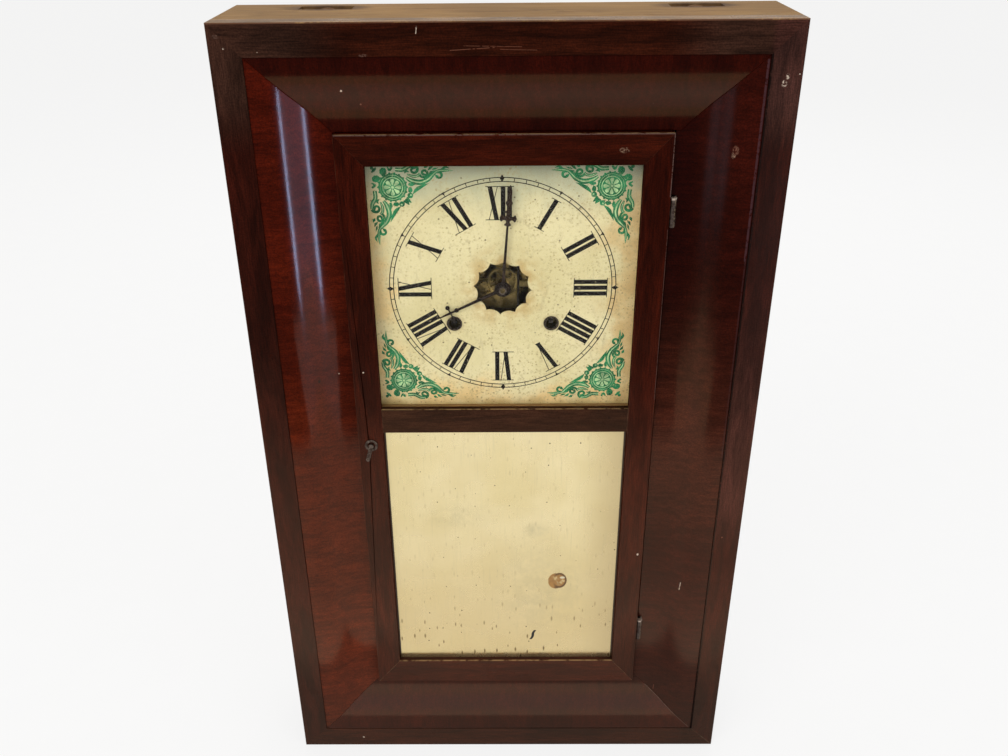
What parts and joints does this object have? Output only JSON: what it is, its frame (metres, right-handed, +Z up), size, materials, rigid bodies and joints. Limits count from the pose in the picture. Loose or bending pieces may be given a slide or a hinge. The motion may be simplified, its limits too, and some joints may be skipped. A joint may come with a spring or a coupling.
{
  "type": "ogee shelf clock",
  "caption": "Weight-driven shelf clock in a veneered box case with a hinged glazed door, painted dial, hands, pendulum and striking train.",
  "frame": {"origin": "middle of the base, at the bottom of the case", "axes": "+X to the right as seen from the front, +Y to the back, +Z up; the dial faces -Y"},
  "size_m": [0.394, 0.09, 0.667],
  "materials": {
    "case_pine": "bare pine",
    "top_pine": "bare pine, aged",
    "rim_veneer": "dark varnished mahogany veneer",
    "ogee_veneer": "varnished mahogany veneer",
    "door_veneer": "dark varnished mahogany veneer",
    "window_glass": "clear",
    "old_mirror": "aged silvering",
    "bead_wood": "raw",
    "hinge_iron": "blackened",
    "latch_metal": "tarnished",
    "dial_paint": "aged cream paint",
    "hand_black": "black",
    "brass": "tarnished",
    "drum_wood": "turned",
    "steel_wire": "plain",
    "gong_steel": "blued",
    "cast_iron": "as cast",
    "pulley_wood": "turned"
  },
  "bodies": {
    "case": {"backboard": "case_pine", "side_left": "case_pine", "side_right": "case_pine", "top_board": "top_pine", "bottom_board": "case_pine", "rim_left": "rim_veneer", "rim_right": "rim_veneer", "rim_top": "rim_veneer", "rim_bottom": "rim_veneer", "ogee_left": "ogee_veneer", "ogee_right": "ogee_veneer", "ogee_top": "ogee_veneer", "ogee_bottom": "ogee_veneer", "partition_left": "case_pine", "partition_right": "case_pine", "seat_board": "case_pine", "top_block": "case_pine", "hinge_leaves_case": "hinge_iron", "dial": "dial_paint", "front_plate": "brass", "back_plate": "brass", "gong": "gong_steel", "gong_stand": "cast_iron", "pulley_axles": "steel_wire"},
    "door": {"door_stile_left": "door_veneer", "door_stile_right": "door_veneer", "door_rail_top": "door_veneer", "door_rail_cross": "door_veneer", "door_rail_bottom": "door_veneer", "dial_glass": "window_glass", "mirror": "old_mirror", "glazing_beads": "bead_wood", "hinge_leaves_door": "hinge_iron", "latch_escutcheon": "latch_metal"},
    "latch": {"latch_lever": "latch_metal"},
    "minute_group": {"minute_arbor": "brass", "minute_hand": "hand_black", "hand_nut": "brass"},
    "hour_group": {"hour_wheel": "brass", "hour_hand": "hand_black"},
    "pendulum": {"pendulum_rod": "steel_wire", "pendulum_bob": "brass"},
    "minute_wheel": {"minute_wheel": "brass"},
    "second_wheel": {"second_wheel": "brass"},
    "time_great_wheel": {"time_great_wheel": "brass"},
    "third_wheel": {"third_wheel": "brass"},
    "escape_wheel": {"escape_wheel": "brass"},
    "verge": {"verge": "steel_wire"},
    "pin_wheel": {"pin_wheel": "brass"},
    "strike_great_wheel": {"strike_great_wheel": "brass"},
    "warning_wheel": {"warning_wheel": "brass"},
    "fly": {"fly": "brass"},
    "count_wheel": {"count_wheel": "brass"},
    "hammer": {"hammer": "steel_wire"},
    "weight_right": {"weight_right": "cast_iron"},
    "time_drum": {"time_drum": "drum_wood"},
    "pulley_right": {"pulley_right": "pulley_wood"},
    "weight_left": {"weight_left": "cast_iron"},
    "strike_drum": {"strike_drum": "drum_wood"},
    "pulley_left": {"pulley_left": "pulley_wood"}
  },
  "joints": [
    {"name": "door_swing", "type": "hinge", "parent": "case", "child": "door", "pos_m": [0.11965, -0.034, 0.3335], "axis": [0, 0, 1], "range_deg": [0, 160]},
    {"name": "latch_turn", "type": "hinge", "parent": "door", "child": "latch", "pos_m": [-0.1112, -0.033, 0.338], "axis": [0, 1, 0], "range_deg": [0, 90]},
    {"name": "hand_turn", "type": "hinge", "parent": "case", "child": "minute_group", "pos_m": [-0.0033, 0.005, 0.4703], "axis": [0, 1, 0], "continuous": true},
    {"name": "hour_turn", "type": "hinge", "parent": "case", "child": "hour_group", "pos_m": [-0.0033, -0.015, 0.4703], "axis": [0, 1, 0], "continuous": true},
    {"name": "minute_wheel_turn", "type": "hinge", "parent": "case", "child": "minute_wheel", "pos_m": [-0.01391, -0.006, 0.45969], "axis": [0, 1, 0], "continuous": true},
    {"name": "second_wheel_turn", "type": "hinge", "parent": "case", "child": "second_wheel", "pos_m": [0.03433, 0.015, 0.4756], "axis": [0, 1, 0], "continuous": true},
    {"name": "time_great_wheel_turn", "type": "hinge", "parent": "case", "child": "time_great_wheel", "pos_m": [0.0344, 0.024, 0.4406], "axis": [0, 1, 0], "continuous": true},
    {"name": "third_wheel_turn", "type": "hinge", "parent": "case", "child": "third_wheel", "pos_m": [0.01629, 0.015, 0.49433], "axis": [0, 1, 0], "continuous": true},
    {"name": "escape_wheel_turn", "type": "hinge", "parent": "case", "child": "escape_wheel", "pos_m": [-0.00301, 0.015, 0.5053], "axis": [0, 1, 0], "continuous": true},
    {"name": "pendulum_swing", "type": "hinge", "parent": "case", "child": "pendulum", "pos_m": [0.0087, -0.014, 0.5313], "axis": [0, 1, 0], "range_deg": [-3, 3]},
    {"name": "verge_rock", "type": "hinge", "parent": "case", "child": "verge", "pos_m": [-0.00301, -0.009, 0.5188], "axis": [0, 1, 0], "range_deg": [-4.5, 4.5]},
    {"name": "pin_wheel_turn", "type": "hinge", "parent": "case", "child": "pin_wheel", "pos_m": [-0.04093, 0.015, 0.4756], "axis": [0, 1, 0], "continuous": true},
    {"name": "strike_great_wheel_turn", "type": "hinge", "parent": "case", "child": "strike_great_wheel", "pos_m": [-0.041, 0.024, 0.4406], "axis": [0, 1, 0], "continuous": true},
    {"name": "warning_wheel_turn", "type": "hinge", "parent": "case", "child": "warning_wheel", "pos_m": [-0.02289, 0.015, 0.49433], "axis": [0, 1, 0], "continuous": true},
    {"name": "fly_turn", "type": "hinge", "parent": "case", "child": "fly", "pos_m": [-0.02844, 0.015, 0.51582], "axis": [0, 1, 0], "continuous": true},
    {"name": "count_wheel_turn", "type": "hinge", "parent": "case", "child": "count_wheel", "pos_m": [-0.04093, -0.0054, 0.4971], "axis": [0, 1, 0], "continuous": true},
    {"name": "hammer_lift", "type": "hinge", "parent": "case", "child": "hammer", "pos_m": [-0.0053, 0.012, 0.4163], "axis": [0, 1, 0], "range_deg": [0, 10]},
    {"name": "right_weight_lift", "type": "slide", "parent": "case", "child": "weight_right", "axis": [0, 0, 1], "range_m": [0, 0.4]},
    {"name": "time_drum_turn", "type": "hinge", "parent": "case", "child": "time_drum", "pos_m": [0.0344, 0.013, 0.4406], "axis": [0, 1, 0], "range_deg": [-1540, 0]},
    {"name": "right_pulley_turn", "type": "hinge", "parent": "case", "child": "pulley_right", "pos_m": [0.1355, 0.0255, 0.6515], "axis": [0, 1, 0], "range_deg": [-1650, 0]},
    {"name": "left_weight_lift", "type": "slide", "parent": "case", "child": "weight_left", "axis": [0, 0, 1], "range_m": [0, 0.4]},
    {"name": "strike_drum_turn", "type": "hinge", "parent": "case", "child": "strike_drum", "pos_m": [-0.041, 0.013, 0.4406], "axis": [0, 1, 0], "range_deg": [0, 1540]},
    {"name": "left_pulley_turn", "type": "hinge", "parent": "case", "child": "pulley_left", "pos_m": [-0.128, 0.0255, 0.6515], "axis": [0, 1, 0], "range_deg": [0, 1650]}
  ],
  "couplings": [
    {"joint": "hour_turn", "follows": "hand_turn", "ratio": 0.083333},
    {"joint": "minute_wheel_turn", "follows": "hand_turn", "ratio": -0.33333},
    {"joint": "second_wheel_turn", "follows": "hand_turn", "ratio": -1},
    {"joint": "time_great_wheel_turn", "follows": "hand_turn", "ratio": 0.16667},
    {"joint": "third_wheel_turn", "follows": "hand_turn", "ratio": 9},
    {"joint": "escape_wheel_turn", "follows": "hand_turn", "ratio": -74.25},
    {"joint": "verge_rock", "follows": "pendulum_swing", "ratio": 1.4},
    {"joint": "strike_great_wheel_turn", "follows": "pin_wheel_turn", "ratio": -0.16667},
    {"joint": "warning_wheel_turn", "follows": "pin_wheel_turn", "ratio": -9},
    {"joint": "fly_turn", "follows": "pin_wheel_turn", "ratio": 74.25},
    {"joint": "count_wheel_turn", "follows": "pin_wheel_turn", "ratio": -0.10256},
    {"joint": "time_drum_turn", "follows": "right_weight_lift", "rad_per_m": -66.667},
    {"joint": "right_pulley_turn", "follows": "right_weight_lift", "rad_per_m": -71.429},
    {"joint": "strike_drum_turn", "follows": "left_weight_lift", "rad_per_m": 66.667},
    {"joint": "left_pulley_turn", "follows": "left_weight_lift", "rad_per_m": 71.429}
  ]
}
